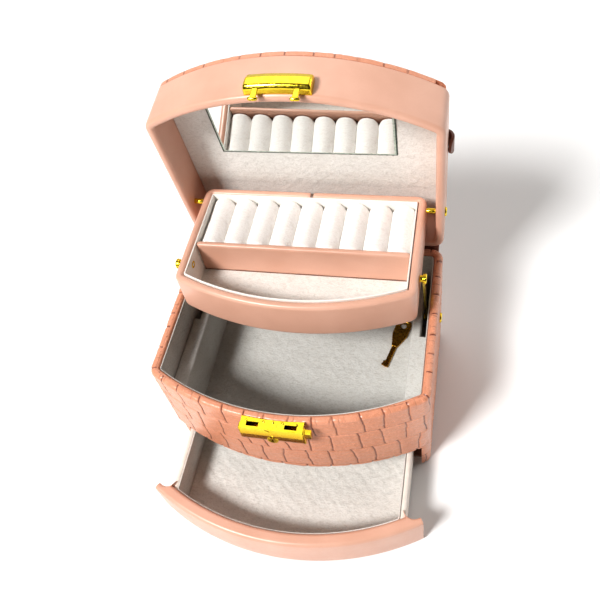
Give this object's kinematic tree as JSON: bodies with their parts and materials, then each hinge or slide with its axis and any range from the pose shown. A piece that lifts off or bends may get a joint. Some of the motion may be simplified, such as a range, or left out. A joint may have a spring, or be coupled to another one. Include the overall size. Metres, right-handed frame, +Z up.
{
  "type": "jewellery chest with drawers",
  "caption": "Bowed-front jewellery chest in embossed leather: hinged mirror lid, lifting ring tray on linkage arms, open compartment, sliding drawer, push-button lock.",
  "frame": {"origin": "middle of the case's underside", "axes": "+X to the right seen from the front, +Y to the back, +Z up; the lid is open, the tray raised and the drawer part way out"},
  "size_m": [0.179, 0.2278, 0.2379],
  "materials": {
    "croc_leather": "crocodile-embossed coated leather, satin",
    "smooth_leather": "smooth coated leather, satin",
    "velvet": "short-pile velvet",
    "board": "paper-covered board",
    "lining_paper": "board covered in fine cream cloth",
    "gold_metal": "polished gold plating",
    "spring_steel": "bare wire",
    "mirror": "silvered glass, polished edge",
    "strap_leather": "dark brown coated leather"
  },
  "bodies": {
    "case": {"case_side_left": "croc_leather", "case_side_right": "croc_leather", "case_back": "croc_leather", "case_front_band": "croc_leather", "base_board": "board", "middle_board": "board", "compartment_liner": "velvet", "floor_pad": "velvet", "ledge_left": "velvet", "ledge_right": "velvet", "drawer_rail_left": "board", "drawer_rail_right": "board", "case_pivot_left": "gold_metal", "case_pivot_right": "gold_metal", "lock_case": "gold_metal", "lock_pins": "gold_metal", "latch_spring": "spring_steel", "spine_leather": "strap_leather"},
    "lid": {"lid_band": "smooth_leather", "lid_board": "board", "lid_pad": "croc_leather", "lid_panel": "velvet", "mirror_glass": "mirror", "hasp_cover": "gold_metal", "hasp_hooks": "gold_metal", "lid_pivot_left": "gold_metal", "lid_pivot_right": "gold_metal", "handle_strap": "strap_leather"},
    "tray": {"tray_wall": "smooth_leather", "tray_bottom": "board", "tray_liner": "velvet", "tray_divider": "smooth_leather", "tray_floor_pad": "velvet", "ring_base_pad": "velvet", "tray_eyelets": "gold_metal", "ring_roll_1": "velvet", "ring_roll_2": "velvet", "ring_roll_3": "velvet", "ring_roll_4": "velvet", "ring_roll_5": "velvet", "ring_roll_6": "velvet", "ring_roll_7": "velvet", "ring_roll_8": "velvet", "ring_roll_9": "velvet"},
    "arm_left": {"arm_left": "gold_metal", "arm_rivet_left": "gold_metal"},
    "arm_right": {"arm_right": "gold_metal", "arm_rivet_right": "gold_metal"},
    "drawer": {"drawer_front": "smooth_leather", "drawer_box": "lining_paper", "drawer_bottom": "board", "drawer_liner": "velvet", "drawer_floor_pad": "velvet"},
    "latch": {"latch_slider": "gold_metal", "push_button": "gold_metal"},
    "plug": {"key_plug": "gold_metal"},
    "key": {"key": "gold_metal"}
  },
  "joints": [
    {"name": "lid_hinge", "type": "hinge", "parent": "case", "child": "lid", "pos_m": [0, 0.069, 0.094], "axis": [1, 0, 0], "range_deg": [0, 83], "deforming": ["spine_leather"]},
    {"name": "tray_pivot", "type": "hinge", "parent": "lid", "child": "tray", "pos_m": [0, 0.0735, 0.1255], "axis": [1, 0, 0], "range_deg": [-83, 0]},
    {"name": "arm_pivot_left", "type": "hinge", "parent": "case", "child": "arm_left", "pos_m": [-0.0785, 0.04043, 0.0537], "axis": [1, 0, 0], "range_deg": [0, 34.38]},
    {"name": "arm_pivot_right", "type": "hinge", "parent": "case", "child": "arm_right", "pos_m": [0.0785, 0.04043, 0.0537], "axis": [1, 0, 0], "range_deg": [0, 34.38]},
    {"name": "drawer_slide", "type": "slide", "parent": "case", "child": "drawer", "axis": [0, -1, 0], "range_m": [-0.0478, 0.0386]},
    {"name": "latch_slide", "type": "slide", "parent": "case", "child": "latch", "axis": [-1, 0, 0], "range_m": [0, 0.0012], "stiffness_N_per_m": 200, "springref_m": -0.002, "deforming": ["latch_spring"]},
    {"name": "key_plug_turn", "type": "hinge", "parent": "case", "child": "plug", "pos_m": [-0.0015, -0.0755, 0.0843], "axis": [0, -1, 0], "range_deg": [0, 90]},
    {"name": "key_lift", "type": "slide", "parent": "case", "child": "key", "axis": [0, 0, 1], "range_m": [0, 0.03]}
  ],
  "couplings": [
    {"joint": "tray_pivot", "follows": "lid_hinge", "ratio": -1},
    {"joint": "arm_pivot_left", "follows": "lid_hinge", "ratio": 0.41366},
    {"joint": "arm_pivot_right", "follows": "lid_hinge", "ratio": 0.41366}
  ]
}
